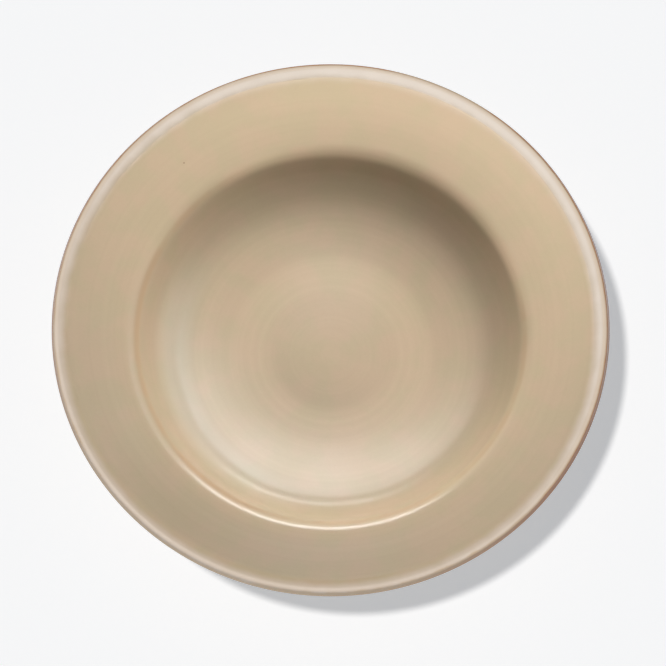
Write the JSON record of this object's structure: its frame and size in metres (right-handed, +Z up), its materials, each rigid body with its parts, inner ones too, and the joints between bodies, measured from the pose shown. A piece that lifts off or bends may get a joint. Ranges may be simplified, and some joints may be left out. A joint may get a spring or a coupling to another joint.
{
  "type": "pasta plate",
  "caption": "Round stoneware pasta plate with a broad sloping rim, a deep dished well and a low foot ring, glazed beige with a pale band and bare clay at the rim's edge.",
  "frame": {"origin": "on the axis of turning, at the table that the foot ring stands on", "axes": "+Z up along the axis of turning, out of the well; X and Y lie in the table"},
  "size_m": [0.2704, 0.2704, 0.0645],
  "materials": {
    "stoneware": "bare toasted clay, matte",
    "beige_glaze": "gloss, warm beige with fine turning rings and soft mottling",
    "pale_glaze": "gloss, pale cream, breaking to pinkish brown at the edge"
  },
  "bodies": {
    "root": {"stoneware_body": "stoneware", "face_glaze": "beige_glaze", "rim_band_glaze": "pale_glaze", "back_glaze": "beige_glaze", "foot_recess_glaze": "beige_glaze"}
  },
  "joints": []
}
